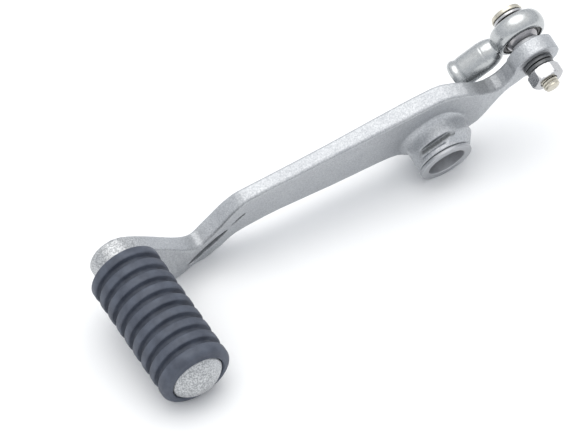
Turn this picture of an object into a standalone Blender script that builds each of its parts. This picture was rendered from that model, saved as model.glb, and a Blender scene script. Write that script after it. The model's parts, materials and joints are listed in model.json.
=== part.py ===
"""Foot gear-shift lever: a cast arm with a rubber-sleeved toe peg at its front end, a bushed pivot
boss, and a rod-end ball joint bolted to the eye at its rear end.

The lever is modelled in its own axes: the pivot axis is Y with the boss's outer face at the origin,
+X points to the rear, +Y towards the engine and +Z up. The lever_frame empty then lays the finished
lever on the floor the way it comes to rest: on its peg, its boss and the underside of its toe.
"""

import math

import bmesh
import bpy
from mathutils import Matrix, Vector

MM = 0.001

GAP = 0.2 * MM  # between pieces that touch
RUNNING_GAP = 0.08 * MM  # radial, between pieces that turn on each other
STEPS = 32  # round pieces
SMALL_STEPS = 24
FINE_STEPS = 40  # spherical bearing pieces, whose facets must stay within the running gap

# The direction that is up once the lever lies on the floor
UP_WHEN_LAID = Vector((0.1065, 0.4157, 0.9033))

# Toe peg
PEG_ROOT = Vector((-114.7, 10.0, 22.5)) * MM
PEG_DIRECTION = Vector((0.06, -0.975, 0.215)).normalized()
PEG_LENGTH = 46.8 * MM
HEAD_RADIUS = 8.4 * MM
HEAD_THICKNESS = 7.6 * MM
HEAD_EASE = 1.2 * MM
HEAD_STEP = 0.2 * MM  # the head's outer face stands this proud of the toe plate
CORE_RADIUS = 7.0 * MM
DOME_RADIUS = 8.7 * MM
DOME_HEIGHT = 4.3 * MM
DOME_EDGE = 1.2 * MM
DOME_SEAT = 0.5 * MM  # how far the dome's rim lies inside the rubber's mouth
RUBBER_RADIUS = 12.0 * MM
RIB_COUNT = 9
RIB_DEPTH = 2.0 * MM
RIB_EASE = 0.5 * MM
GROOVE_WIDTH = 1.9 * MM

# Arm: each station is the outer face's top edge, its bottom edge (x, y, z) and the plate's thickness
ARM_STATIONS = (
    ((-114.5, 12.2, 30.3), (-114.5, 8.8, 15.0), 7.4),
    ((-109.0, 12.0, 28.2), (-108.5, 7.2, 6.5), 7.0),
    ((-102.0, 11.0, 22.9), (-101.0, 6.6, 1.0), 6.3),
    ((-96.8, 10.1, 17.7), (-96.0, 7.8, -1.6), 5.9),
    ((-92.7, 9.4, 13.6), (-92.0, 8.8, -2.0), 5.9),
    ((-89.5, 9.5, 10.6), (-89.5, 9.5, -2.8), 6.0),
    ((-87.2, 9.8, 9.6), (-87.0, 10.0, -4.0), 6.2),
    ((-84.5, 10.2, 10.7), (-84.5, 10.6, -4.8), 6.4),
    ((-79.7, 10.8, 13.8), (-79.8, 11.2, -3.6), 6.5),
    ((-75.8, 11.3, 17.4), (-75.5, 11.8, -1.4), 6.2),
    ((-71.5, 11.8, 20.7), (-71.5, 12.0, -0.4), 5.6),
    ((-67.0, 12.0, 22.0), (-66.0, 12.0, 0.1), 5.1),
    ((-57.0, 12.0, 22.2), (-57.0, 12.0, 0.2), 5.1),
    ((-37.0, 12.0, 22.2), (-37.0, 12.0, -2.6), 5.4),
    ((-19.0, 12.0, 22.2), (-19.0, 12.0, -4.0), 6.0),
    ((-12.0, 12.0, 22.2), (-12.0, 12.0, -5.8), 6.2),
    ((-7.0, 12.0, 22.3), (-7.0, 12.0, -10.0), 6.3),
    ((0.0, 12.0, 22.4), (0.0, 12.0, -11.5), 6.3),
    ((6.0, 11.6, 22.4), (6.0, 12.0, -11.5), 6.3),
    ((12.9, 10.1, 20.9), (13.0, 11.0, -10.0), 5.8),
    ((18.3, 9.1, 18.0), (18.0, 9.8, -5.5), 5.6),
    ((23.5, 9.0, 15.7), (23.5, 10.0, 2.5), 6.0),
    ((27.5, 9.2, 17.6), (28.0, 10.4, 7.5), 5.8),
    ((31.0, 9.4, 24.0), (32.0, 9.8, 11.5), 5.6),
    ((35.0, 9.6, 28.6), (36.5, 9.7, 15.0), 5.4),
)
ARM_EDGE_RADIUS = 0.9 * MM
SECTIONS_PER_STATION = 2

# Two hollows in the outer face of the front bend, each a lens between two points: width and depth
BEND_HOLLOWS = (
    ((-93.0, 9.1, 0.9), (-76.8, 11.4, 7.9), 4.4, 3.0),
    ((-75.6, 11.7, 8.6), (-69.4, 12.0, 13.2), 1.4, 1.4),
)

# Pivot boss and its bushes, measured along the pivot axis from the outer bush's face
BORE_RADIUS = 6.7 * MM
SLEEVE_RADIUS = 7.2 * MM
FLANGE_RADIUS = 9.65 * MM
FLANGE_THICKNESS = 1.4 * MM
TUBE_RADIUS = 9.5 * MM
TUBE_START = FLANGE_THICKNESS + GAP
TUBE_END = 20.4 * MM
COLLAR_OFFSET = 1.7 * MM  # the collar is wider behind the bore than in front of it
COLLAR_START = 2.0 * MM
COLLAR_SHOULDER = 5.0 * MM
BOSS_RADIUS = 11.0 * MM
PLATE_OUTER = 12.0 * MM
PLATE_INNER = 18.3 * MM
OUTER_FILLET = 3.0 * MM
FILLET_SINK = 0.1 * MM  # how far the fillet's rim lies under the plate's outer face
GROOVE_START = 3.4 * MM
GROOVE_END = 6.0 * MM
GROOVE_FLOOR = 8.75 * MM  # the groove's flat floor, from the collar's axis
GROOVE_TURN = math.radians(-24)  # the groove faces up and a little forward

# Rear eye and the stack on its stud, measured along Y
STUD_X = 38.0 * MM
STUD_Z = 21.9 * MM
EYE_RADIUS = 8.5 * MM
EYE_OUTER = 9.6 * MM
EYE_INNER = 15.0 * MM
STUD_RADIUS = 2.95 * MM
STUD_END = -0.8 * MM
STUD_HEAD_RADIUS = 5.6 * MM
STUD_HEAD_START = 28.3 * MM
STUD_HEAD_END = 30.8 * MM
BALL_Y = 22.2 * MM
BALL_RADIUS = 6.6 * MM
BALL_WIDTH = 9.4 * MM
HEAD_WASHER_RADIUS = 5.5 * MM
HEAD_WASHER_THICKNESS = 1.0 * MM
SPACER_RADIUS = 4.9 * MM
WASHER_RADIUS = 5.3 * MM
WASHER_THICKNESS = 1.2 * MM
SPRING_WASHER_RADIUS = 4.9 * MM
SPRING_WASHER_THICKNESS = 1.3 * MM
NUT_ACROSS_FLATS = 10.0 * MM
NUT_THICKNESS = 4.6 * MM

# Rod end
HOUSING_RADIUS = 9.7 * MM
HOUSING_WIDTH = 7.2 * MM
HOUSING_BULGE = 2.2 * MM  # how far the ring's rounded outside stands out from its rims
RACE_THICKNESS = 1.3 * MM
RACE_WIDTH = 6.4 * MM
SHANK_DROP = math.radians(29)  # the shank points forward and down from the ball
SHANK_START = 9.0 * MM
SHANK_NECK_RADIUS = 4.5 * MM
SHANK_RADIUS = 5.1 * MM
SHANK_SHOULDER = 12.5 * MM
SHANK_COLLAR = 21.2 * MM
SHANK_COLLAR_RADIUS = 5.5 * MM
SHANK_COLLAR_EASE = 2.2 * MM
SHANK_END = 26.2 * MM
THREAD_RADIUS = 2.5 * MM
THREAD_DEPTH = 15.0 * MM


def clear_scene():
    for item in list(bpy.data.objects):
        bpy.data.objects.remove(item, do_unlink=True)


def make_collection(name):
    collection = bpy.data.collections.new(name)
    bpy.context.scene.collection.children.link(collection)
    return collection


def make_material(name, colour, roughness, metallic):
    material = bpy.data.materials.new(name)
    material.use_nodes = True
    shader = material.node_tree.nodes["Principled BSDF"]
    shader.inputs["Base Color"].default_value = (*colour, 1.0)
    shader.inputs["Roughness"].default_value = roughness
    shader.inputs["Metallic"].default_value = metallic
    material.diffuse_color = (*colour, 1.0)
    return material


def along(direction, origin):
    """The matrix that puts a shape's own Z axis along the direction, from the origin given."""
    return Matrix.Translation(origin) @ direction.to_track_quat("Z", "Y").to_matrix().to_4x4()


def stud_place(y):
    return along(Vector((0, 1, 0)), Vector((STUD_X, y, STUD_Z)))


def rod_end_place():
    """The rod end's axes, from the ball's centre: Z along the stud and X along the shank."""
    shank = Vector((-math.cos(SHANK_DROP), 0, -math.sin(SHANK_DROP)))
    along_stud = Vector((0, 1, 0))
    axes = Matrix((shank, along_stud.cross(shank), along_stud)).transposed()
    return Matrix.Translation((STUD_X, BALL_Y, STUD_Z)) @ axes.to_4x4()


def shank_place():
    return rod_end_place() @ Matrix.Rotation(math.radians(90), 4, "Y")


def pivot_place():
    return along(Vector((0, 1, 0)), Vector((0, 0, 0)))


def add_object(name, mesh, place, collection):
    item = bpy.data.objects.new(name, mesh)
    item.matrix_world = place
    collection.objects.link(item)
    return item


def turned(name, profile, place, collection, steps=STEPS):
    """Turns a profile of (radius, height) points, given down its outer side, round the Z axis. A
    profile that starts off the axis is closed into a ring."""
    mesh = bpy.data.meshes.new(name)
    edges = [(i, i + 1) for i in range(len(profile) - 1)]
    if profile[0][0] > 0:
        edges.append((len(profile) - 1, 0))
    mesh.from_pydata([(radius, 0, height) for radius, height in profile], edges, [])
    item = add_object(name, mesh, place, collection)
    screw = item.modifiers.new("turn", "SCREW")
    screw.steps = steps
    screw.render_steps = steps
    screw.use_merge_vertices = True
    screw.merge_threshold = 1e-6
    screw.use_smooth_shade = True
    return item


def arc(centre, radius, start, end, count):
    """Points of a circular arc in a profile, between two angles in degrees from the outward side."""
    points = []
    for i in range(count + 1):
        angle = math.radians(start + (end - start) * i / count)
        points.append((centre[0] + radius * math.cos(angle), centre[1] + radius * math.sin(angle)))
    return points


def combine(item, other, operation):
    """Joins or cuts with another object, which is hidden and left as a guide."""
    modifier = item.modifiers.new(f"{operation.lower()} {other.name}", "BOOLEAN")
    modifier.operation = operation
    modifier.solver = "EXACT"
    modifier.object = other
    other.hide_render = True
    other.display_type = "WIRE"


def catmull_rom(points, t):
    """The smooth curve's value t of the way from the second point to the third."""
    a, b, c, d = points
    return (
        b * 2 + (c - a) * t + (a * 2 - b * 5 + c * 4 - d) * t * t + (b * 3 - c * 3 + d - a) * t**3
    ) / 2


def smooth_stations():
    """The arm's stations with more between them, as (top edge, bottom edge, far side offset)."""
    rows = []
    for top, bottom, thickness in ARM_STATIONS:
        rows.append((Vector(top) * MM, Vector(bottom) * MM, Vector((0, thickness, 0)) * MM))
    smooth = []
    for i in range(len(rows) - 1):
        around = [rows[max(i - 1, 0)], rows[i], rows[i + 1], rows[min(i + 2, len(rows) - 1)]]
        for j in range(SECTIONS_PER_STATION):
            t = j / SECTIONS_PER_STATION
            smooth.append(tuple(catmull_rom([row[k] for row in around], t) for k in range(3)))
    smooth.append(rows[-1])
    return smooth


def arm_section(top, bottom, across):
    """One cross-section of the arm: a rectangle square to its own depth, with eased edges."""
    depth = (top - bottom).normalized()
    inward = (Vector((0, 1, 0)) - depth * depth.y).normalized() * across.length
    corners = [top, bottom, bottom + inward, top + inward]
    ring = []
    for i, corner in enumerate(corners):
        before = (corners[i - 1] - corner).normalized() * ARM_EDGE_RADIUS
        after = (corners[(i + 1) % 4] - corner).normalized() * ARM_EDGE_RADIUS
        ring.append(corner + before)
        ring.append(corner + (before + after) * (1 - math.sqrt(0.5)))
        ring.append(corner + after)
    return ring


def make_arm_plate(collection):
    """The arm's plate, lofted through its cross-sections from the toe to the rear eye."""
    shape = bmesh.new()
    rings = []
    for top, bottom, across in smooth_stations():
        rings.append([shape.verts.new(point) for point in arm_section(top, bottom, across)])
    for first, second in zip(rings, rings[1:]):
        for i in range(len(first)):
            j = (i + 1) % len(first)
            shape.faces.new((first[i], first[j], second[j], second[i]))
    shape.faces.new(list(reversed(rings[0])))
    shape.faces.new(rings[-1])
    bmesh.ops.recalc_face_normals(shape, faces=shape.faces)
    mesh = bpy.data.meshes.new("lever_arm")
    shape.to_mesh(mesh)
    shape.free()
    mesh.shade_smooth()
    mesh.set_sharp_from_angle(angle=math.radians(35))
    return add_object("lever_arm", mesh, Matrix.Identity(4), collection)


def peg_core_profile():
    """The round head behind the peg, the peg's core and the dome that holds the rubber on."""
    rim = PEG_LENGTH - DOME_SEAT
    ball = (DOME_RADIUS**2 + DOME_HEIGHT**2) / (2 * DOME_HEIGHT)
    start = math.degrees(math.asin(DOME_RADIUS / ball))
    profile = [(0, rim + DOME_HEIGHT)]
    profile += arc((0, rim + DOME_HEIGHT - ball), ball, 90, 90 - start, 6)[1:]
    profile += [
        (DOME_RADIUS, rim - DOME_EDGE),
        (CORE_RADIUS, rim - DOME_EDGE),
        (CORE_RADIUS, HEAD_STEP),
        (HEAD_RADIUS, HEAD_STEP),
    ]
    ease = (HEAD_RADIUS - HEAD_EASE, HEAD_EASE - HEAD_THICKNESS)
    profile += arc(ease, HEAD_EASE, 0, -90, 3)
    profile += [(0, -HEAD_THICKNESS)]
    return profile


def rubber_profile():
    """The ribbed sleeve: rounded ribs with narrower grooves between, and a shouldered mouth."""
    start = HEAD_STEP + GAP
    pitch = (PEG_LENGTH - start + GROOVE_WIDTH) / (RIB_COUNT + 0.25)
    low = RUBBER_RADIUS - RIB_DEPTH
    eased = RUBBER_RADIUS - RIB_EASE
    mouth = DOME_RADIUS + GAP
    seat = PEG_LENGTH - DOME_SEAT - DOME_EDGE - GAP
    profile = [(mouth, PEG_LENGTH - 0.3 * MM), (mouth + 0.3 * MM, PEG_LENGTH)]
    profile += arc((RUBBER_RADIUS - 2.0 * MM, PEG_LENGTH - 2.0 * MM), 2.0 * MM, 90, 0, 3)
    for i in reversed(range(RIB_COUNT)):
        foot = start + i * pitch
        if i < RIB_COUNT - 1:
            crest = foot + pitch - GROOVE_WIDTH
            profile += [(low, crest + RIB_EASE), (eased, crest), (RUBBER_RADIUS, crest - RIB_EASE)]
        if i > 0:
            profile += [(RUBBER_RADIUS, foot + RIB_EASE), (eased, foot), (low, foot - RIB_EASE)]
    profile += [
        (RUBBER_RADIUS, start + 0.5 * MM),
        (RUBBER_RADIUS - 0.5 * MM, start),
        (CORE_RADIUS + GAP, start),
        (CORE_RADIUS + GAP, seat),
        (mouth, seat),
    ]
    return profile


def collar_profile():
    """The casting's collar: it widens behind the boss's mouth and flares into the plate."""
    outer = (BOSS_RADIUS + OUTER_FILLET, PLATE_OUTER - OUTER_FILLET + FILLET_SINK)
    profile = [(0, PLATE_INNER - 1 * MM), (BOSS_RADIUS, PLATE_INNER - 1 * MM)]
    profile += [(BOSS_RADIUS + OUTER_FILLET - 0.4 * MM, PLATE_OUTER + 0.5 * MM)]
    profile += arc(outer, OUTER_FILLET, 95, 180, 6)
    profile += [
        (BOSS_RADIUS, COLLAR_SHOULDER + 0.5 * MM),
        (BOSS_RADIUS - 0.5 * MM, COLLAR_SHOULDER - 0.2 * MM),
        (TUBE_RADIUS - 1.0 * MM, COLLAR_START),
        (0, COLLAR_START),
    ]
    return profile


def tube_profile():
    """The casting's boss tube, through the plate from face to face."""
    ease = 0.3 * MM
    return [
        (0, TUBE_END),
        (TUBE_RADIUS - ease, TUBE_END),
        (TUBE_RADIUS, TUBE_END - ease),
        (TUBE_RADIUS, TUBE_START + ease),
        (TUBE_RADIUS - ease, TUBE_START),
        (0, TUBE_START),
    ]


def cylinder_profile(radius, top, bottom):
    return [(0, top), (radius, top), (radius, bottom), (0, bottom)]


def make_hollow_cutter(name, start, end, width, depth, collection):
    """A lens-shaped block between two points of the arm's outer face, reaching in by its depth."""
    middle = (Vector(start) + Vector(end)) / 2 * MM
    half = (Vector(end) - Vector(start)) / 2 * MM
    side = half.normalized().cross(Vector((0, 1, 0))).normalized() * width / 2 * MM
    shape = bmesh.new()
    bmesh.ops.create_cone(
        shape, cap_ends=True, segments=20, radius1=1, radius2=1, depth=depth * 2 * MM
    )
    axes = Matrix((half, side, Vector((0, 1, 0)))).transposed().to_4x4()
    bmesh.ops.transform(shape, matrix=Matrix.Translation(middle) @ axes, verts=shape.verts)
    bmesh.ops.recalc_face_normals(shape, faces=shape.faces)
    mesh = bpy.data.meshes.new(name)
    shape.to_mesh(mesh)
    shape.free()
    return add_object(name, mesh, Matrix.Identity(4), collection)


def make_box(name, size, place, collection):
    shape = bmesh.new()
    bmesh.ops.create_cube(shape, size=1)
    bmesh.ops.transform(shape, matrix=Matrix.Diagonal((*size, 1)), verts=shape.verts)
    mesh = bpy.data.meshes.new(name)
    shape.to_mesh(mesh)
    shape.free()
    return add_object(name, mesh, place, collection)


def make_groove_cutter(guides):
    """A block that cuts a straight groove with a flat floor across the top of the collar."""
    size = (2 * BOSS_RADIUS, GROOVE_END - GROOVE_START, BOSS_RADIUS)
    turn = Matrix.Translation((COLLAR_OFFSET, 0, 0)) @ Matrix.Rotation(GROOVE_TURN, 4, "Y")
    rise = Matrix.Translation((0, (GROOVE_START + GROOVE_END) / 2, GROOVE_FLOOR + size[2] / 2))
    return make_box("groove_cutter", size, turn @ rise, guides)


def make_arm(parts, guides):
    arm = make_arm_plate(parts)
    peg = turned("peg_core", peg_core_profile(), along(PEG_DIRECTION, PEG_ROOT), guides)
    tube = turned("boss_tube", tube_profile(), pivot_place(), guides)
    collar_place = Matrix.Translation((COLLAR_OFFSET, 0, 0)) @ pivot_place()
    collar = turned("boss_collar", collar_profile(), collar_place, guides)
    eye = turned("eye", cylinder_profile(EYE_RADIUS, EYE_INNER, EYE_OUTER), stud_place(0), guides)
    for joined in (peg, collar, tube, eye):
        combine(arm, joined, "UNION")
    bore = cylinder_profile(SLEEVE_RADIUS + GAP, TUBE_END + 5 * MM, 0)
    stud_hole = cylinder_profile(STUD_RADIUS + GAP, EYE_INNER + 5 * MM, 0)
    combine(arm, turned("bore_cutter", bore, pivot_place(), guides), "DIFFERENCE")
    combine(arm, turned("stud_cutter", stud_hole, stud_place(0), guides, SMALL_STEPS), "DIFFERENCE")
    combine(arm, make_groove_cutter(guides), "DIFFERENCE")
    for i, (start, end, width, depth) in enumerate(BEND_HOLLOWS):
        cutter = make_hollow_cutter(f"hollow_cutter_{i + 1}", start, end, width, depth, guides)
        combine(arm, cutter, "DIFFERENCE")
    return arm


def make_bush(name, face, inward, parts):
    """A flanged bush pressed into one end of the boss. Its face is at the height given, and inward
    is 1 or -1 for the way its sleeve points."""
    ease = 0.3 * MM
    middle = (TUBE_START + TUBE_END) / 2
    sleeve_end = middle - inward * GAP
    back = face + inward * FLANGE_THICKNESS
    profile = [
        (BORE_RADIUS, sleeve_end),
        (SLEEVE_RADIUS, sleeve_end),
        (SLEEVE_RADIUS, back),
        (FLANGE_RADIUS, back),
        (FLANGE_RADIUS, face + inward * ease),
        (FLANGE_RADIUS - ease, face),
        (BORE_RADIUS + ease, face),
        (BORE_RADIUS, face + inward * ease),
    ]
    if inward < 0:
        profile.reverse()
    return turned(name, profile, pivot_place(), parts)


def make_bushes(parts):
    inner_face = TUBE_END + GAP + FLANGE_THICKNESS
    outer = make_bush("pivot_bush_outer", 0, 1, parts)
    return outer, make_bush("pivot_bush_inner", inner_face, -1, parts)


def make_rubber(parts):
    return turned("peg_rubber", rubber_profile(), along(PEG_DIRECTION, PEG_ROOT), parts)


def make_stud(parts):
    """The stud: a low domed head on the ball's side and a plain shank through to the nut."""
    rise = STUD_HEAD_END - STUD_HEAD_START - 1.1 * MM
    ball = (STUD_HEAD_RADIUS**2 + rise**2) / (2 * rise)
    start = math.degrees(math.asin(STUD_HEAD_RADIUS / ball))
    profile = arc((0, STUD_HEAD_END - ball), ball, 90, 90 - start, 6)
    profile[0] = (0, STUD_HEAD_END)
    profile += [
        (STUD_HEAD_RADIUS, STUD_HEAD_START + 0.3 * MM),
        (STUD_HEAD_RADIUS - 0.3 * MM, STUD_HEAD_START),
        (STUD_RADIUS, STUD_HEAD_START),
        (STUD_RADIUS, STUD_END + 0.6 * MM),
        (STUD_RADIUS - 0.6 * MM, STUD_END),
        (0, STUD_END),
    ]
    return turned("stud_bolt", profile, stud_place(0), parts, SMALL_STEPS)


def ring_profile(inside, outside, top, bottom, ease):
    """A plain ring with its outer edges eased."""
    return [
        (inside, top),
        (outside - ease, top),
        (outside, top - ease),
        (outside, bottom + ease),
        (outside - ease, bottom),
        (inside, bottom),
    ]


def make_spacer(parts):
    top = BALL_Y - BALL_WIDTH / 2 - GAP
    bottom = EYE_INNER + GAP
    profile = ring_profile(STUD_RADIUS + GAP, SPACER_RADIUS, top, bottom, 0.4 * MM)
    return turned("ball_spacer", profile, stud_place(0), parts, SMALL_STEPS)


def make_head_washer(parts):
    bottom = BALL_Y + BALL_WIDTH / 2 + GAP
    top = bottom + HEAD_WASHER_THICKNESS
    profile = ring_profile(STUD_RADIUS + GAP, HEAD_WASHER_RADIUS, top, bottom, 0.15 * MM)
    return turned("head_washer", profile, stud_place(0), parts, SMALL_STEPS)


def make_washer(parts):
    top = EYE_OUTER - GAP
    profile = ring_profile(
        STUD_RADIUS + GAP, WASHER_RADIUS, top, top - WASHER_THICKNESS, 0.15 * MM
    )
    return turned("stud_washer", profile, stud_place(0), parts, SMALL_STEPS)


def make_spring_washer(parts, guides):
    """A split ring: a plain ring with a slanting cut through one side."""
    top = EYE_OUTER - WASHER_THICKNESS - 2 * GAP
    bottom = top - SPRING_WASHER_THICKNESS
    inside = STUD_RADIUS + GAP
    profile = ring_profile(inside, SPRING_WASHER_RADIUS, top, bottom, 0.15 * MM)
    ring = turned("spring_washer", profile, stud_place(0), parts, SMALL_STEPS)
    slant = Matrix.Rotation(math.radians(25), 4, "X")
    offset = Matrix.Translation((-(inside + SPRING_WASHER_RADIUS) / 2, 0, (top + bottom) / 2))
    size = (5 * MM, 0.6 * MM, 6 * MM)
    cutter = make_box("split_cutter", size, stud_place(0) @ offset @ slant, guides)
    combine(ring, cutter, "DIFFERENCE")
    return ring


def make_nut(parts, guides):
    """A hexagon nut: a six-sided prism with its corners turned off, and a bore."""
    top = EYE_OUTER - WASHER_THICKNESS - SPRING_WASHER_THICKNESS - 3 * GAP
    bottom = top - NUT_THICKNESS
    across_corners = NUT_ACROSS_FLATS / math.cos(math.radians(30))
    shape = bmesh.new()
    bmesh.ops.create_cone(
        shape,
        cap_ends=True,
        segments=6,
        radius1=across_corners / 2,
        radius2=across_corners / 2,
        depth=NUT_THICKNESS,
    )
    mesh = bpy.data.meshes.new("stud_nut")
    shape.to_mesh(mesh)
    shape.free()
    place = stud_place((top + bottom) / 2) @ Matrix.Rotation(math.radians(12), 4, "Z")
    nut = add_object("stud_nut", mesh, place, parts)
    reach = across_corners / 2 + 0.1 * MM
    round_over = [
        (0, top + 0.01 * MM),
        (NUT_ACROSS_FLATS / 2 - 0.1 * MM, top + 0.01 * MM),
        (reach, top - 0.5 * MM),
        (reach, bottom + 0.5 * MM),
        (NUT_ACROSS_FLATS / 2 - 0.1 * MM, bottom - 0.01 * MM),
        (0, bottom - 0.01 * MM),
    ]
    combine(nut, turned("nut_chamfers", round_over, stud_place(0), guides), "INTERSECT")
    hole = cylinder_profile(STUD_RADIUS + GAP, top + 2 * MM, bottom - 2 * MM)
    combine(nut, turned("nut_hole", hole, stud_place(0), guides, SMALL_STEPS), "DIFFERENCE")
    return nut


def sphere_zone(radius, width, count):
    """Profile points down a sphere's side, between two flats a width apart."""
    edge = math.degrees(math.asin(width / 2 / radius))
    return arc((0, 0), radius, edge, -edge, count)


def make_ball(parts):
    """The ball turns on the stud and carries the rod end round with it."""
    inside = STUD_RADIUS + RUNNING_GAP
    profile = [(inside, BALL_WIDTH / 2)]
    profile += sphere_zone(BALL_RADIUS, BALL_WIDTH, 8)
    profile += [(inside, -BALL_WIDTH / 2)]
    return turned("rod_end_ball", profile, stud_place(BALL_Y), parts, FINE_STEPS)


def make_race(parts):
    """The liner between ball and housing, a zone of a hollow sphere."""
    inner = sphere_zone(BALL_RADIUS + RUNNING_GAP, RACE_WIDTH, 6)
    outer = sphere_zone(BALL_RADIUS + RACE_THICKNESS, RACE_WIDTH, 4)
    profile = outer + list(reversed(inner))
    return turned("rod_end_race", profile, rod_end_place(), parts, FINE_STEPS)


def make_housing(parts, guides):
    """The rod end's ring and its tapped shank."""
    half = HOUSING_WIDTH / 2
    seat = sphere_zone(BALL_RADIUS + RACE_THICKNESS + GAP, HOUSING_WIDTH, 4)
    rim = HOUSING_RADIUS - HOUSING_BULGE
    bulge = [(rim + HOUSING_BULGE * r, half * h) for r, h in arc((0, 0), 1, 90, -90, 8)]
    ring = bulge + list(reversed(seat))
    housing = turned("rod_end_housing", ring, rod_end_place(), parts, FINE_STEPS)
    bead = (SHANK_COLLAR_RADIUS - SHANK_COLLAR_EASE, SHANK_END - SHANK_COLLAR_EASE)
    shank = [(0, SHANK_END)]
    shank += arc(bead, SHANK_COLLAR_EASE, 90, 0, 4)
    shank += [
        (SHANK_COLLAR_RADIUS, SHANK_COLLAR + 0.8 * MM),
        (SHANK_RADIUS, SHANK_COLLAR - 0.3 * MM),
        (SHANK_RADIUS, SHANK_SHOULDER + 0.6 * MM),
        (SHANK_NECK_RADIUS, SHANK_SHOULDER - 0.6 * MM),
        (SHANK_NECK_RADIUS, SHANK_START),
        (0, SHANK_START),
    ]
    place = shank_place()
    combine(housing, turned("shank", shank, place, guides, SMALL_STEPS), "UNION")
    thread = cylinder_profile(THREAD_RADIUS, SHANK_END + 2 * MM, SHANK_END - THREAD_DEPTH)
    combine(housing, turned("thread_cutter", thread, place, guides, SMALL_STEPS), "DIFFERENCE")
    return housing


def make_parts(parts, guides):
    """Every piece, as (object, colour, roughness, metallic)."""
    arm = make_arm(parts, guides)
    outer_bush, inner_bush = make_bushes(parts)
    rubber = make_rubber(parts)
    ball = make_ball(parts)
    race = make_race(parts)
    housing = make_housing(parts, guides)
    return (
        (arm, (0.55, 0.56, 0.58), 0.45, 0.9),
        (rubber, (0.06, 0.066, 0.075), 0.6, 0.0),
        (outer_bush, (0.42, 0.43, 0.44), 0.35, 1.0),
        (inner_bush, (0.42, 0.43, 0.44), 0.35, 1.0),
        (make_stud(parts), (0.66, 0.63, 0.56), 0.3, 1.0),
        (ball, (0.5, 0.5, 0.5), 0.15, 1.0),
        (make_head_washer(parts), (0.6, 0.6, 0.6), 0.3, 1.0),
        (make_spacer(parts), (0.5, 0.5, 0.51), 0.35, 1.0),
        (make_washer(parts), (0.3, 0.3, 0.31), 0.4, 1.0),
        (make_spring_washer(parts, guides), (0.3, 0.3, 0.31), 0.4, 1.0),
        (make_nut(parts, guides), (0.6, 0.6, 0.6), 0.3, 1.0),
        (race, (0.2, 0.19, 0.17), 0.5, 0.0),
        (housing, (0.58, 0.59, 0.6), 0.3, 1.0),
    )


def hang_on(item, parent):
    """Parents an object without moving it."""
    bpy.context.view_layer.update()
    world = item.matrix_world.copy()
    item.parent = parent
    item.matrix_world = world


def joint_empty(name, place, parent, collection):
    empty = add_object(name, None, place, collection)
    empty.empty_display_size = 10 * MM
    if parent:
        hang_on(empty, parent)
    return empty


def hang_parts(parts_made, collection):
    """Hangs every piece on the lever's frame, and the rod end's pieces on their two joints."""
    identity = Matrix.Identity(4)
    frame = joint_empty("lever_frame", identity, None, collection)
    swivel = joint_empty("rod_end_swivel", rod_end_place(), frame, collection)
    tilt = joint_empty("rod_end_tilt", rod_end_place(), swivel, collection)
    parents = {"rod_end_ball": swivel, "rod_end_race": tilt, "rod_end_housing": tilt}
    for item, *_ in parts_made:
        hang_on(item, parents.get(item.name, frame))
    for guide in bpy.data.collections["guides"].objects:
        hang_on(guide, frame)
    return frame


def lowest_and_middle(items):
    """The lowest height of the evaluated pieces, and the middle of their box in X and Y."""
    bpy.context.view_layer.update()
    graph = bpy.context.evaluated_depsgraph_get()
    points = []
    for item in items:
        evaluated = item.evaluated_get(graph)
        mesh = evaluated.to_mesh()
        points += [evaluated.matrix_world @ vertex.co for vertex in mesh.vertices]
        evaluated.to_mesh_clear()
    middle_x = (min(p.x for p in points) + max(p.x for p in points)) / 2
    middle_y = (min(p.y for p in points) + max(p.y for p in points)) / 2
    return Vector((middle_x, middle_y, min(p.z for p in points)))


def lay_down(frame, items):
    """Turns the lever to the way it lies, its arm along X, and sets it on the floor at the origin."""
    up = UP_WHEN_LAID.normalized()
    ahead = (Vector((1, 0, 0)) - up * up.x).normalized()
    left = up.cross(ahead)
    frame.matrix_world = Matrix((ahead, left, up)).to_4x4()
    frame.location = frame.location - lowest_and_middle(items)
    bpy.context.view_layer.update()


def main():
    clear_scene()
    parts = make_collection("gear_shift_lever")
    guides = make_collection("guides")
    guides.hide_render = True
    made = make_parts(parts, guides)
    for item, colour, roughness, metallic in made:
        item.data.materials.append(make_material(item.name, colour, roughness, metallic))
    frame = hang_parts(made, parts)
    lay_down(frame, [item for item, *_ in made])


main()
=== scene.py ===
"""Looks of the foot gear-shift lever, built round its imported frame.

The arm and the rod end's liner are finer copies of their solids, remeshed with rounded edges. The
rod end's housing is two turned shapes, joined and remeshed. The spring washer is its solid with
eased edges. The other pieces are built anew out of fine rings, and all but the rubber take sizes
from the solids they stand for.
"""

import json
import math

import bmesh
import bpy
from mathutils import Matrix, Vector

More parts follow.
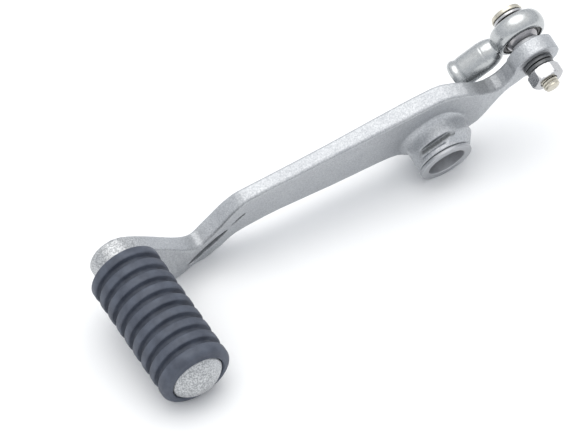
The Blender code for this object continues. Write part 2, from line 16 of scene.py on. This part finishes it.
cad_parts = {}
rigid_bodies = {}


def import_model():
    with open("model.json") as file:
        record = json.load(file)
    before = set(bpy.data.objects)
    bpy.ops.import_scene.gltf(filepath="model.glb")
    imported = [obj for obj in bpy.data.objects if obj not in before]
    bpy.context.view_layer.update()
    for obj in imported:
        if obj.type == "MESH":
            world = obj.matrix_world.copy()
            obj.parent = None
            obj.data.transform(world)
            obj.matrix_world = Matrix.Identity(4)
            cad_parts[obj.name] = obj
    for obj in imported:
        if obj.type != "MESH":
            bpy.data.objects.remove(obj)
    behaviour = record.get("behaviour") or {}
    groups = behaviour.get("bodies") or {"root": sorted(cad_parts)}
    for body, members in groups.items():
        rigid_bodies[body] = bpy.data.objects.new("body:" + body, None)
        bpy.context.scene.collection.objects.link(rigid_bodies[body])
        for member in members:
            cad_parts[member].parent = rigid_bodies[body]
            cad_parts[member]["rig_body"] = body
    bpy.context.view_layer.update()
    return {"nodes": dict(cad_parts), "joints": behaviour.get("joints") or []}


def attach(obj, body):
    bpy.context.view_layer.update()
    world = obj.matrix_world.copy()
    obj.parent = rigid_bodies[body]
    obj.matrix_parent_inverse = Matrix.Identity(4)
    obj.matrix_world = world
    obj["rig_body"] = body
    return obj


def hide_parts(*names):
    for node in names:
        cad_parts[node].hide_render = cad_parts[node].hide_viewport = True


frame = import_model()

MM = 0.001

# The lever's own axes: +X to the rear, +Y to the engine, +Z up, from the pivot at the outer bush
UP_WHEN_LAID = Vector((0.1065, 0.4157, 0.9033))
BALL_CENTRE = Vector((38.0, 22.2, 21.9)) * MM
SHANK_DROP = math.radians(29)
PEG_ROOT = Vector((-114.7, 10.0, 22.5)) * MM
PEG_DIRECTION = Vector((0.06, -0.975, 0.215))

# Camera, in the lever's axes
CAMERA_PLACE = Vector((-191.7, -221.4, 689.0)) * MM
CAMERA_RIGHT = Vector((0.8742, -0.4853, 0.0133))
CAMERA_UP = Vector((0.4487, 0.8181, 0.3598))
CAMERA_LENS = 137.143
CAMERA_SENSOR = 36
CAMERA_NEAR = 0.01

# Meshes
TURN_STEPS = 96
ON_AXIS = 1e-9
THREAD_STEPS = 48
THREAD_PITCH = 1.0 * MM
THREAD_DEPTH = 0.35 * MM
ARM_VOXEL = 0.3 * MM
ARM_ROUNDS = 4
RACE_VOXEL = 0.2 * MM
RACE_ROUNDS = 2
HOUSING_VOXEL = 0.17 * MM
HOUSING_ROUNDS = 12

# The rod end's shank: radius and distance from the ball's centre, in millimetres
SHANK_BORE = ((0, 11.2), (2.5, 11.2), (2.5, 25.9), (2.9, 26.2))
BEAD_CENTRE = (3.6 * MM, 24.3 * MM)
BEAD_RADIUS = 1.9 * MM
SHANK_OUTSIDE = (
    (4.95, 22.4),
    (5.1, 21.6),
    (5.1, 13.3),
    (4.9, 12.95),
    (5.0, 12.6),
    (4.7, 11.0),
    (3.9, 8.8),
    (0, 8.8),
)

# The arm's skin is made darker with painted shade in the four kinds of places that follow, and
# coarser at the toe end.
# The places and amounts were set to bring its tones near those of the photographed part.
# The painted shade stands for no dirt or wear that is known to be there, and in the dips it also
# partly hides facets of the mesh that came out too bright.

# Painted shade in the groove across the collar: the collar's axis, the way the groove faces, its
# span along Y
COLLAR_OFFSET = Vector((1.7, 0, 0)) * MM
COLLAR_RADIUS = 11.0 * MM
GROOVE_FACING = Vector((-0.407, 0, 0.914))
GROOVE_REACH = 0.7 * COLLAR_RADIUS
GROOVE_SPAN = (3.4 * MM, 6.0 * MM)

# Painted shade in the hollows of the front bend: start, end, width and depth
BEND_HOLLOWS = (
    (Vector((-93.0, 9.1, 0.9)) * MM, Vector((-76.8, 11.4, 7.9)) * MM, 4.4 * MM, 3.0 * MM),
    (Vector((-75.6, 11.7, 8.6)) * MM, Vector((-69.4, 12.0, 13.2)) * MM, 1.4 * MM, 1.4 * MM),
)
HOLLOW_MOST = 0.15

# Painted shade in the two dips in the arm's top: middle, reach and the most they darken it
SHADED_DIPS = ((23.0 * MM, 12.0 * MM, 0.35), (-88.0 * MM, 5.0 * MM, 0.15))

# Painted shade along the arm's outer upper edge, where its skin faces up and outward, apart from
# the boss
EDGE_MOST = 0.45
BOSS_REACH = 1.45 * COLLAR_RADIUS

# Where the toe end's coarser skin ends
COARSE_END = -103.0 * MM
COARSE_FADE = 6.0 * MM

# Tones over a noise, as (position, colour) stops
SKIN_TONES = ((0.36, (0.46, 0.475, 0.495)), (0.64, (0.58, 0.595, 0.61)))
CLOUD_TONES = ((0.3, (0.93, 0.93, 0.94)), (0.7, (1.0, 1.0, 1.0)))
COARSE_TONES = ((0.4, (0.34, 0.35, 0.36)), (0.6, (0.60, 0.61, 0.62)))
# Tones of the painted shade on the arm
PAINTED_SHADE_TONES = ((0.3, (0.10, 0.105, 0.11)), (0.7, (0.18, 0.19, 0.195)))
RUBBER_TONES = ((0.35, (0.048, 0.057, 0.080)), (0.7, (0.080, 0.094, 0.126)))

# Metals: colour, roughness, how far the roughness varies, the grain's size and its depth
METALS = {
    "bright_plating": ((0.52, 0.535, 0.54), 0.25, 0.05, 0.8 * MM, 0.004 * MM),
    "yellowed_zinc": ((0.62, 0.585, 0.5), 0.3, 0.08, 0.5 * MM, 0.006 * MM),
    "turned_steel": ((0.5, 0.51, 0.53), 0.5, 0.08, 0.5 * MM, 0.006 * MM),
    "dark_steel": ((0.17, 0.175, 0.18), 0.4, 0.08, 0.5 * MM, 0.006 * MM),
    "bright_nut": ((0.52, 0.52, 0.53), 0.26, 0.06, 0.6 * MM, 0.004 * MM),
    "polished_ball": ((0.4, 0.39, 0.4), 0.2, 0.04, 1.0 * MM, 0.002 * MM),
    "dark_liner": ((0.1, 0.1, 0.1), 0.45, 0.08, 0.5 * MM, 0.006 * MM),
}
METAL_DARKER = 0.86

# Floor and light
FLOOR_SIZE = 6
FLOOR_COLOUR = (0.93, 0.935, 0.94)
SKY_TONES = ((0.0, (0.62, 0.64, 0.67)), (0.9, (1.0, 1.0, 1.0)), (0.45, (0.72, 0.74, 0.77)))
SKY_STRENGTH = 1.2
KEY_PLACE = Vector((0.05, 0.15, 1.1))
KEY_SIZE = 1.2
KEY_POWER = 4.3
KEY_COLOUR = (1.0, 0.995, 0.98)


def lever_axes():
    """The lever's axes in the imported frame, from the ball's centre and the way the lever lies."""
    up = UP_WHEN_LAID.normalized()
    ahead = (Vector((1, 0, 0)) - up * up.x).normalized()
    turn = Matrix((ahead, up.cross(ahead), up)).to_4x4()
    ball = Vector(frame["joints"][0]["pos_m"])
    return Matrix.Translation(ball - turn @ BALL_CENTRE) @ turn


LEVER = lever_axes()


def axis_place(direction, origin):
    """Axes with Z along a direction, both given in the lever's axes."""
    turn = direction.normalized().to_track_quat("Z", "Y").to_matrix().to_4x4()
    return LEVER @ Matrix.Translation(origin) @ turn


# The places that the round pieces turn about
PIVOT = axis_place(Vector((0, 1, 0)), Vector((0, 0, 0)))
STUD = axis_place(Vector((0, 1, 0)), BALL_CENTRE)
PEG = axis_place(PEG_DIRECTION, PEG_ROOT)


# ---------------------------------------------------------------- meshes


def stand_for(item, node, material):
    """The piece gets a material and the CAD node's body, and the CAD node is hidden."""
    item.data.materials.clear()
    item.data.materials.append(material)
    body = frame["nodes"][node]["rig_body"]
    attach(item, body)
    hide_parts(node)
    return item


def link_mesh(name, mesh):
    """An object of its own for a mesh."""
    item = bpy.data.objects.new(name, mesh)
    bpy.context.scene.collection.objects.link(item)
    return item


def settle(item):
    """Bakes an object's modifiers into its mesh."""
    bpy.context.view_layer.update()
    graph = bpy.context.evaluated_depsgraph_get()
    mesh = bpy.data.meshes.new_from_object(item.evaluated_get(graph))
    item.modifiers.clear()
    item.data = mesh
    mesh.shade_smooth()
    return item


def relaxed(item, voxel, rounds):
    """Remeshes an object and relaxes it so that its edges come out rounded."""
    remesh = item.modifiers.new("remesh", "REMESH")
    remesh.mode = "VOXEL"
    remesh.voxel_size = voxel
    relax = item.modifiers.new("relax", "SMOOTH")
    relax.factor = 0.5
    relax.iterations = rounds
    return settle(item)


def remeshed(node, name, voxel, rounds):
    """A fine, rounded copy of a CAD node."""
    return relaxed(link_mesh(name, frame["nodes"][node].data.copy()), voxel, rounds)


def arc(centre, radius, start, end, count):
    """Points of an arc in a profile, between two angles in degrees from the outward side."""
    points = []
    for i in range(count + 1):
        angle = math.radians(start + (end - start) * i / count)
        points.append((centre[0] + radius * math.cos(angle), centre[1] + radius * math.sin(angle)))
    return points


def mesh_item(name, shape, sharp):
    """A smooth object out of a bmesh, with edges sharper than an angle in degrees kept."""
    bmesh.ops.recalc_face_normals(shape, faces=shape.faces)
    mesh = bpy.data.meshes.new(name)
    shape.to_mesh(mesh)
    shape.free()
    mesh.shade_smooth()
    mesh.set_sharp_from_angle(angle=math.radians(sharp))
    return link_mesh(name, mesh)


def bridge(shape, first, second):
    """Faces between two rings of points. A ring of one point is a tip."""
    count = max(len(first), len(second))
    for i in range(count):
        j = (i + 1) % count
        corners = [first[i % len(first)], first[j % len(first)]]
        corners += [second[j % len(second)], second[i % len(second)]]
        shape.faces.new(list(dict.fromkeys(corners)))


def turned(name, profile, place, sharp=40):
    """Turns a closed or axis-to-axis profile of (radius, height) points round a place's Z axis."""
    shape = bmesh.new()
    rings = []
    for radius, height in profile:
        if radius < ON_AXIS:
            rings.append([shape.verts.new(place @ Vector((0, 0, height)))])
            continue
        ring = []
        for i in range(TURN_STEPS):
            turn = 2 * math.pi * i / TURN_STEPS
            point = Vector((radius * math.cos(turn), radius * math.sin(turn), height))
            ring.append(shape.verts.new(place @ point))
        rings.append(ring)
    pairs = list(zip(rings, rings[1:]))
    if len(rings[0]) > 1:
        pairs.append((rings[-1], rings[0]))
    for first, second in pairs:
        bridge(shape, first, second)
    return mesh_item(name, shape, sharp)


def sizes(node, place):
    """A CAD node's inner and outer radius, and its low and high end, along a place's Z axis."""
    back = place.inverted()
    points = [back @ vertex.co for vertex in frame["nodes"][node].data.vertices]
    radii = [math.hypot(point.x, point.y) for point in points]
    heights = [point.z for point in points]
    return min(radii), max(radii), min(heights), max(heights)


def rolled_edges(outside, low, high, ease):
    """The outer side of a ring's profile from top to bottom, with both edges rounded."""
    upper = arc((outside - ease, high - ease), ease, 90, 0, 4)
    lower = arc((outside - ease, low + ease), ease, 0, -90, 4)
    return upper + lower


def eased_ring(inside, outside, low, high, ease):
    """A ring's profile with rounded outer edges and chamfered inner ones."""
    profile = [(inside, high - ease), (inside + ease, high)]
    profile += rolled_edges(outside, low, high, ease)
    profile += [(inside + ease, low), (inside, low + ease)]
    return profile


def make_ring(node, name, place, ease, material):
    """A plain ring with its solid's sizes and eased edges."""
    inside, outside, low, high = sizes(node, place)
    profile = eased_ring(inside, outside, low, high, ease)
    return stand_for(turned(name, profile, place), node, material)


def make_bush(node, name, flange_is_low, material):
    """A thin flanged bush, with a rolled edge round the flange at its low or its high end."""
    wall = 0.45 * MM
    flange = 1.4 * MM
    edge = 0.35 * MM
    mouth = 0.5 * MM
    inside, outside, low, high = sizes(node, PIVOT)
    sleeve = inside + wall
    profile = [(inside, high), (sleeve, high), (sleeve, low + flange)]
    profile += rolled_edges(outside, low, low + flange, edge)
    profile += arc((inside + mouth, low + mouth), mouth, -90, -180, 4)
    if not flange_is_low:
        profile = [(radius, low + high - height) for radius, height in profile]
    return stand_for(turned(name, profile, PIVOT), node, material)


def make_stud(material):
    """The stud: a low domed head with a rolled edge, and a thread cut at its free end."""
    node = "stud_bolt"
    head = 2.5 * MM
    rise = 1.0 * MM
    rim = 0.35 * MM
    edge = 0.4 * MM
    shank = 2.9 * MM
    root = shank - THREAD_DEPTH
    threaded = 8 * MM
    run_out = 0.4 * MM
    tip = 0.3 * MM
    _, head_radius, low, high = sizes(node, STUD)
    head_low = high - head
    dome = (head_radius**2 + rise**2) / (2 * rise)
    sweep = math.degrees(math.asin((head_radius - rim) / dome))
    profile = [(0, high)]
    profile += arc((0, high - dome), dome, 90, 90 - sweep, 10)[1:]
    profile += arc((head_radius - edge, head_low + edge), edge, 0, -90, 4)
    profile += [(shank, head_low), (shank, low + threaded), (root, low + threaded - run_out)]
    profile += [(root, low + tip), (0, low + tip)]
    stand_for(turned("stud_bolt_turned", profile, STUD), node, material)
    make_thread(shank, low, low + threaded, material)


def make_thread(radius, low, high, material):
    """A helical thread over the stud's end, as a cylinder whose radius follows the turn."""
    steps_per_pitch = 8
    lead_in = 0.8 * MM
    lead_in_depth = 0.4 * MM
    shape = bmesh.new()
    count = round((high - low) / THREAD_PITCH * steps_per_pitch)
    rings = []
    for k in range(count + 1):
        height = low + (high - low) * k / count
        ease = min(1.0, (height - low) / lead_in)
        ring = []
        for i in range(THREAD_STEPS):
            share = (height / THREAD_PITCH - i / THREAD_STEPS) % 1.0
            crest = abs(2 * share - 1)
            reach = radius - THREAD_DEPTH * (1 - crest) - (1 - ease) * lead_in_depth
            angle = 2 * math.pi * i / THREAD_STEPS
            point = Vector((reach * math.cos(angle), reach * math.sin(angle), height))
            ring.append(shape.verts.new(STUD @ point))
        rings.append(ring)
    for first, second in zip(rings, rings[1:]):
        bridge(shape, first, second)
    shape.faces.new(list(reversed(rings[0])))
    shape.faces.new(rings[-1])
    thread = mesh_item("stud_thread", shape, 50)
    thread.data.materials.append(material)
    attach(thread, "lever")


def make_ball(material):
    """The polished ball: a zone of a sphere with a chamfered bore."""
    node = "rod_end_ball"
    chamfer = 0.3 * MM
    inside, radius, low, high = sizes(node, STUD)
    edge = math.degrees(math.asin(high / radius))
    profile = [(inside, high - chamfer), (inside + chamfer, high)]
    profile += arc((0, 0), radius, edge, -edge, 20)
    profile += [(inside + chamfer, low), (inside, low + chamfer)]
    return stand_for(turned("rod_end_ball_turned", profile, STUD), node, material)


def make_rubber(material):
    """The peg's rubber: nine ribs with eased edges, a shouldered mouth and a thin lip round it."""
    ribs = 9
    pitch = 5.2216 * MM
    rib_width = 2.95 * MM
    start = 0.4 * MM
    first_foot = 0.18 * MM
    top = 12.0 * MM
    low = 9.9 * MM
    ease = 0.55 * MM
    fillet = 0.35 * MM
    foot_ease = 0.5 * MM
    length = 46.8 * MM
    mouth = 8.9 * MM
    lip = 0.3 * MM
    face = 9.7 * MM
    shoulder = 2.0 * MM
    shoulder_drop = 2.35 * MM
    core = 7.2 * MM
    seat = 44.9 * MM
    profile = [(mouth, length - lip), (mouth + lip, length), (face, length)]
    profile += arc((top - shoulder, length - shoulder_drop), shoulder, 90, 0, 8)
    for i in reversed(range(ribs)):
        foot = start + i * pitch + first_foot
        crest = foot + rib_width
        if i < ribs - 1:
            profile += [(low, crest + fillet), (low + fillet, crest)]
            profile += arc((top - ease, crest - ease), ease, 90, 0, 4)
        if i > 0:
            profile += arc((top - ease, foot + ease), ease, 0, -90, 4)
            profile += [(low + fillet, foot), (low, foot - fillet)]
    profile += [(top, start + foot_ease), (top - foot_ease, start)]
    profile += [(core, start), (core, seat), (mouth, seat)]
    return stand_for(turned("peg_rubber_moulded", profile, PEG, 60), "peg_rubber", material)


def join_meshes(name, items):
    """One object out of several overlapping closed ones, ready to be remeshed as a union."""
    shape = bmesh.new()
    for item in items:
        shape.from_mesh(item.data)
        bpy.data.objects.remove(item)
    mesh = bpy.data.meshes.new(name)
    shape.to_mesh(mesh)
    shape.free()
    return link_mesh(name, mesh)


def make_housing(material):
    """The rod end's fat round ring and its shank, a barrel with a rolled bead round its mouth."""
    seat = 8.1 * MM
    half = 3.6 * MM
    rim = 7.5 * MM
    bulge = 2.2 * MM
    flat = math.degrees(math.asin(half / seat))
    ring = arc((0, 0), seat, -flat, flat, 8)
    ring += [(rim + bulge * out, half * up) for out, up in arc((0, 0), 1, 90, -90, 24)]
    shank = [(radius * MM, height * MM) for radius, height in SHANK_BORE]
    shank += arc(BEAD_CENTRE, BEAD_RADIUS, 90, -40, 10)
    shank += [(radius * MM, height * MM) for radius, height in SHANK_OUTSIDE]
    down = Vector((-math.cos(SHANK_DROP), 0, -math.sin(SHANK_DROP)))
    solids = [turned("ring", ring, STUD), turned("shank", shank, axis_place(down, BALL_CENTRE))]
    joined = join_meshes("rod_end_housing_forged", solids)
    return stand_for(relaxed(joined, HOUSING_VOXEL, HOUSING_ROUNDS), "rod_end_housing", material)


def nut_levels(low, high):
    """Heights of the nut's rings: closer together at both ends, where the cone cuts the corners."""
    levels = (0.15 * MM, 0.35 * MM, 0.7 * MM)
    lower = [low + level for level in levels]
    upper = [high - level for level in reversed(levels)]
    return [low, *lower, (low + high) / 2, *upper, high]


def make_nut(material):
    """The hexagon nut: its corners are turned off by a cone at both ends."""
    flat = 5.0 * MM
    bore = 3.1 * MM
    face = flat - 0.15 * MM
    chamfer = 0.9 * MM
    chamfer_height = 0.5 * MM
    turn_by = math.radians(12)
    sixth = math.radians(60)
    steps = TURN_STEPS * 2
    _, corner, low, high = sizes("stud_nut", STUD)
    rings = []
    for height in [high, *reversed(nut_levels(low, high)), low]:
        depth = min(height - low, high - height)
        cone = face + chamfer * depth / chamfer_height
        ring = []
        for i in range(steps):
            angle = 2 * math.pi * i / steps
            side = (angle + turn_by) % sixth - sixth / 2
            ring.append((min(flat / math.cos(side), cone, corner), angle, height))
        rings.append(ring)
    for end in (0, -1):
        rings[end] = [(bore, angle, height) for _, angle, height in rings[end]]
    shape = bmesh.new()
    made = []
    for ring in rings:
        points = [(r * math.cos(a), r * math.sin(a), z) for r, a, z in ring]
        made.append([shape.verts.new(STUD @ Vector(point)) for point in points])
    for first, second in zip(made, made[1:] + made[:1]):
        bridge(shape, first, second)
    return stand_for(mesh_item("stud_nut_turned", shape, 25), "stud_nut", material)


def bevel_node(node, width, material):
    """A copy of a CAD node with its edges rounded off."""
    edge_angle = math.radians(35)
    item = link_mesh(f"{node}_eased", frame["nodes"][node].data.copy())
    bevel = item.modifiers.new("ease", "BEVEL")
    bevel.width = width
    bevel.segments = 3
    bevel.limit_method = "ANGLE"
    bevel.angle_limit = edge_angle
    settle(item)
    item.data.set_sharp_from_angle(angle=edge_angle)
    return stand_for(item, node, material)


def clamped(share, most=1.0):
    """A share held between 0 and the most it may be."""
    return max(0.0, min(most, share))


def groove_share(point):
    """How much painted shade a point of the arm gets inside the collar's groove, from 0 to 1."""
    wall = 0.7 * MM
    lip = 0.1 * MM
    fade_across = 0.6 * MM
    fade_deep = 0.8 * MM
    start, end = GROOVE_SPAN
    place = point - COLLAR_OFFSET
    radius = math.hypot(place.x, place.z)
    if place.dot(GROOVE_FACING) < GROOVE_REACH or radius > COLLAR_RADIUS:
        return 0.0
    across = min(place.y - start - wall, end + lip - place.y)
    return clamped(min(across / fade_across, (COLLAR_RADIUS - radius) / fade_deep))


def hollow_share(point, start, end, width, depth):
    """How much painted shade a point of the arm gets by lying inside one of the bend's hollows."""
    side_margin = 0.2 * MM
    depth_margin = 0.6 * MM
    along = end - start
    share = (point - start).dot(along) / along.length_squared
    if not 0 < share < 1:
        return 0.0
    side = along.cross(Vector((0, 1, 0))).normalized()
    reach = width / 2 * math.sqrt(1 - (2 * share - 1) ** 2) + side_margin
    sunk = point.y - (start.y + share * (end.y - start.y))
    if abs((point - start).dot(side)) > reach or sunk > depth + depth_margin:
        return 0.0
    return clamped(sunk / depth, HOLLOW_MOST)


def dip_share(point, normal, middle, reach, most):
    """How much painted shade a point of the arm's top gets by lying in one of its dips."""
    near = max(0.0, 1 - abs(point.x - middle) / reach)
    facing_up = clamped(2 * normal.z - 0.4)
    return most * min(1.0, 2 * near) * facing_up


def edge_share(point, normal):
    """How much painted shade a point gets by facing as the skin of the arm's outer upper edge does.
    """
    least_outward = -0.3
    edge_rise = 0.6
    edge_spread = 0.35
    place = point - COLLAR_OFFSET
    on_boss = math.hypot(place.x, place.z) < BOSS_REACH
    if normal.y > least_outward or point.x < COARSE_END or on_boss:
        return 0.0
    return EDGE_MOST * max(0.0, 1 - abs(normal.z - edge_rise) / edge_spread)


def mark_arm(arm):
    """Stores the painted shade and how coarse the arm's skin is at each point, for its material."""
    back = LEVER.inverted()
    turn = back.to_3x3()
    # The dark attribute holds how much painted shade each point of the arm gets
    dark = arm.data.attributes.new("dark", "FLOAT", "POINT")
    grit = arm.data.attributes.new("grit", "FLOAT", "POINT")
    for vertex in arm.data.vertices:
        point = back @ vertex.co
        normal = turn @ vertex.normal
        shares = [hollow_share(point, *hollow) for hollow in BEND_HOLLOWS]
        shares += [dip_share(point, normal, *dip) for dip in SHADED_DIPS]
        shares += [groove_share(point), edge_share(point, normal)]
        dark.data[vertex.index].value = max(shares)
        grit.data[vertex.index].value = clamped((COARSE_END - point.x) / COARSE_FADE)


# ------------------------------------------------------------- materials


def new_material(name, colour, metallic, roughness):
    """A material with its plain looks set, and what is needed to build on it."""
    material = bpy.data.materials.new(name)
    material.use_nodes = True
    nodes = material.node_tree.nodes
    shader = nodes["Principled BSDF"]
    shader.inputs["Base Color"].default_value = (*colour, 1)
    shader.inputs["Metallic"].default_value = metallic
    shader.inputs["Roughness"].default_value = roughness
    return material, nodes, material.node_tree.links, shader


def noise(nodes, links, size, detail=3.0):
    """A noise texture whose features are about this size, in the piece's own coordinates."""
    place = nodes.new("ShaderNodeTexCoord")
    texture = nodes.new("ShaderNodeTexNoise")
    texture.inputs["Scale"].default_value = 1 / size
    texture.inputs["Detail"].default_value = detail
    links.new(place.outputs["Object"], texture.inputs["Vector"])
    return texture.outputs["Fac"]


def ramp(nodes, links, value, stops):
    """Maps a value to colours through (position, colour) stops, the two outer ones first."""
    node = nodes.new("ShaderNodeValToRGB")
    for i, (position, colour) in enumerate(stops):
        stop = node.color_ramp.elements[i] if i < 2 else node.color_ramp.elements.new(position)
        stop.position = position
        stop.color = (*colour, 1)
    links.new(value, node.inputs["Fac"])
    return node.outputs["Color"]


def to_range(nodes, links, value, low, high):
    """Stretches the middle of a noise's values over a range."""
    node = nodes.new("ShaderNodeMapRange")
    node.inputs["From Min"].default_value = 0.3
    node.inputs["From Max"].default_value = 0.7
    node.inputs["To Min"].default_value = low
    node.inputs["To Max"].default_value = high
    links.new(value, node.inputs["Value"])
    return node.outputs["Result"]


def bump(nodes, links, shader, heights):
    """Adds a chain of bumps, each a (height value, strength, depth)."""
    normal = None
    for value, strength, depth in heights:
        node = nodes.new("ShaderNodeBump")
        node.inputs["Strength"].default_value = strength
        node.inputs["Distance"].default_value = depth
        links.new(value, node.inputs["Height"])
        if normal:
            links.new(normal, node.inputs["Normal"])
        normal = node.outputs["Normal"]
    links.new(normal, shader.inputs["Normal"])


def mixed(nodes, links, kind, share, first, second):
    """Blends two colours; the share may be a number or a link."""
    mix = nodes.new("ShaderNodeMix")
    mix.data_type = "RGBA"
    mix.blend_type = kind
    if isinstance(share, float):
        mix.inputs["Factor"].default_value = share
    else:
        links.new(share, mix.inputs["Factor"])
    links.new(first, mix.inputs["A"])
    links.new(second, mix.inputs["B"])
    return mix.outputs["Result"]


def attribute(nodes, name):
    """A value stored on the mesh's points."""
    node = nodes.new("ShaderNodeAttribute")
    node.attribute_name = name
    return node.outputs["Fac"]


def cast_aluminium():
    """Cast aluminium: a grainy grey skin with faint clouds, with painted shade or a coarser skin
    where marked.
    """
    material, nodes, links, shader = new_material("cast_aluminium", (0.5, 0.51, 0.53), 1, 0.5)
    grain = noise(nodes, links, 0.5 * MM, 4)
    clouds = noise(nodes, links, 9 * MM, 2)
    fine = ramp(nodes, links, grain, SKIN_TONES)
    broad = ramp(nodes, links, clouds, CLOUD_TONES)
    skin = mixed(nodes, links, "MULTIPLY", 1.0, fine, broad)
    coarse = ramp(nodes, links, grain, COARSE_TONES)
    skin = mixed(nodes, links, "MIX", attribute(nodes, "grit"), skin, coarse)
    # Painted shade, mixed into the skin where the mesh marks it
    dark = ramp(nodes, links, grain, PAINTED_SHADE_TONES)
    colour = mixed(nodes, links, "MIX", attribute(nodes, "dark"), skin, dark)
    links.new(colour, shader.inputs["Base Color"])
    links.new(to_range(nodes, links, grain, 0.58, 0.44), shader.inputs["Roughness"])
    pits = noise(nodes, links, 1.1 * MM, 2)
    bump(nodes, links, shader, ((pits, 0.6, 0.12 * MM), (grain, 0.9, 0.1 * MM)))
    return material


def moulded_rubber():
    """Blue-grey moulded rubber with a fine matt grain and a faint bloom."""
    material, nodes, links, shader = new_material("moulded_rubber", (0.05, 0.055, 0.065), 0, 0.5)
    grain = noise(nodes, links, 0.3 * MM, 3)
    bloom = noise(nodes, links, 4 * MM, 3)
    links.new(ramp(nodes, links, bloom, RUBBER_TONES), shader.inputs["Base Color"])
    links.new(to_range(nodes, links, grain, 0.5, 0.66), shader.inputs["Roughness"])
    bump(nodes, links, shader, ((grain, 0.3, 0.02 * MM),))
    return material


def metal(name, colour, roughness, spread, grain_size, depth):
    """A plated or turned metal with a fine grain in its colour and its gloss."""
    material, nodes, links, shader = new_material(name, colour, 1, roughness)
    grain = noise(nodes, links, grain_size, 3)
    darker = tuple(METAL_DARKER * part for part in colour)
    tones = ramp(nodes, links, grain, ((0.35, darker), (0.65, colour)))
    links.new(tones, shader.inputs["Base Color"])
    gloss = to_range(nodes, links, grain, roughness - spread, roughness + spread)
    links.new(gloss, shader.inputs["Roughness"])
    bump(nodes, links, shader, ((grain, 0.2, depth),))
    return material


def make_pieces():
    """Every visible piece, each in its CAD node's place."""
    casting = cast_aluminium()
    rubber = moulded_rubber()
    metals = {name: metal(name, *look) for name, look in METALS.items()}
    steel = metals["turned_steel"]
    dark = metals["dark_steel"]
    bright = metals["bright_nut"]
    arm = remeshed("lever_arm", "lever_arm_cast", ARM_VOXEL, ARM_ROUNDS)
    mark_arm(arm)
    stand_for(arm, "lever_arm", casting)
    make_rubber(rubber)
    make_housing(metals["bright_plating"])
    make_bush("pivot_bush_outer", "pivot_bush_outer_turned", True, steel)
    make_bush("pivot_bush_inner", "pivot_bush_inner_turned", False, steel)
    make_stud(metals["yellowed_zinc"])
    make_ball(metals["polished_ball"])
    make_ring("head_washer", "head_washer_turned", STUD, 0.2 * MM, bright)
    make_ring("ball_spacer", "ball_spacer_turned", STUD, 0.3 * MM, steel)
    make_ring("stud_washer", "stud_washer_turned", STUD, 0.2 * MM, dark)
    bevel_node("spring_washer", 0.12 * MM, dark)
    make_nut(bright)
    race = remeshed("rod_end_race", "rod_end_race_moulded", RACE_VOXEL, RACE_ROUNDS)
    stand_for(race, "rod_end_race", metals["dark_liner"])


# ------------------------------------------------------ floor, light, camera


def make_floor():
    """A plain pale floor."""
    bpy.ops.mesh.primitive_plane_add(size=FLOOR_SIZE)
    floor = bpy.context.object
    floor.name = "floor"
    material, _, _, shader = new_material("floor", FLOOR_COLOUR, 0, 0.9)
    shader.inputs["Specular IOR Level"].default_value = 0.1
    floor.data.materials.append(material)


def make_key():
    """One soft round light above the part, aimed at the middle of the floor."""
    light = bpy.data.lights.new("key", "AREA")
    light.shape = "DISK"
    light.size = KEY_SIZE
    light.energy = KEY_POWER
    light.color = KEY_COLOUR
    item = bpy.data.objects.new("key", light)
    bpy.context.scene.collection.objects.link(item)
    item.location = KEY_PLACE
    item.rotation_euler = (-KEY_PLACE).to_track_quat("-Z", "Y").to_euler()


def make_light():
    """A pale sky, brighter overhead than at the horizon, and the key light."""
    world = bpy.data.worlds.new("studio")
    bpy.context.scene.world = world
    world.use_nodes = True
    nodes = world.node_tree.nodes
    links = world.node_tree.links
    direction = nodes.new("ShaderNodeTexCoord")
    split = nodes.new("ShaderNodeSeparateXYZ")
    links.new(direction.outputs["Generated"], split.inputs["Vector"])
    sky = ramp(nodes, links, split.outputs["Z"], SKY_TONES)
    links.new(sky, nodes["Background"].inputs["Color"])
    nodes["Background"].inputs["Strength"].default_value = SKY_STRENGTH
    make_key()


def make_camera():
    """The camera, placed in the lever's axes."""
    back = CAMERA_RIGHT.cross(CAMERA_UP)
    turn = Matrix((CAMERA_RIGHT, CAMERA_UP, back)).transposed().to_4x4()
    data = bpy.data.cameras.new("camera")
    data.lens = CAMERA_LENS
    data.sensor_width = CAMERA_SENSOR
    data.clip_start = CAMERA_NEAR
    camera = bpy.data.objects.new("camera", data)
    bpy.context.scene.collection.objects.link(camera)
    camera.matrix_world = LEVER @ Matrix.Translation(CAMERA_PLACE) @ turn
    bpy.context.scene.camera = camera


bpy.context.scene.view_settings.view_transform = "Standard"
make_pieces()
make_floor()
make_light()
make_camera()
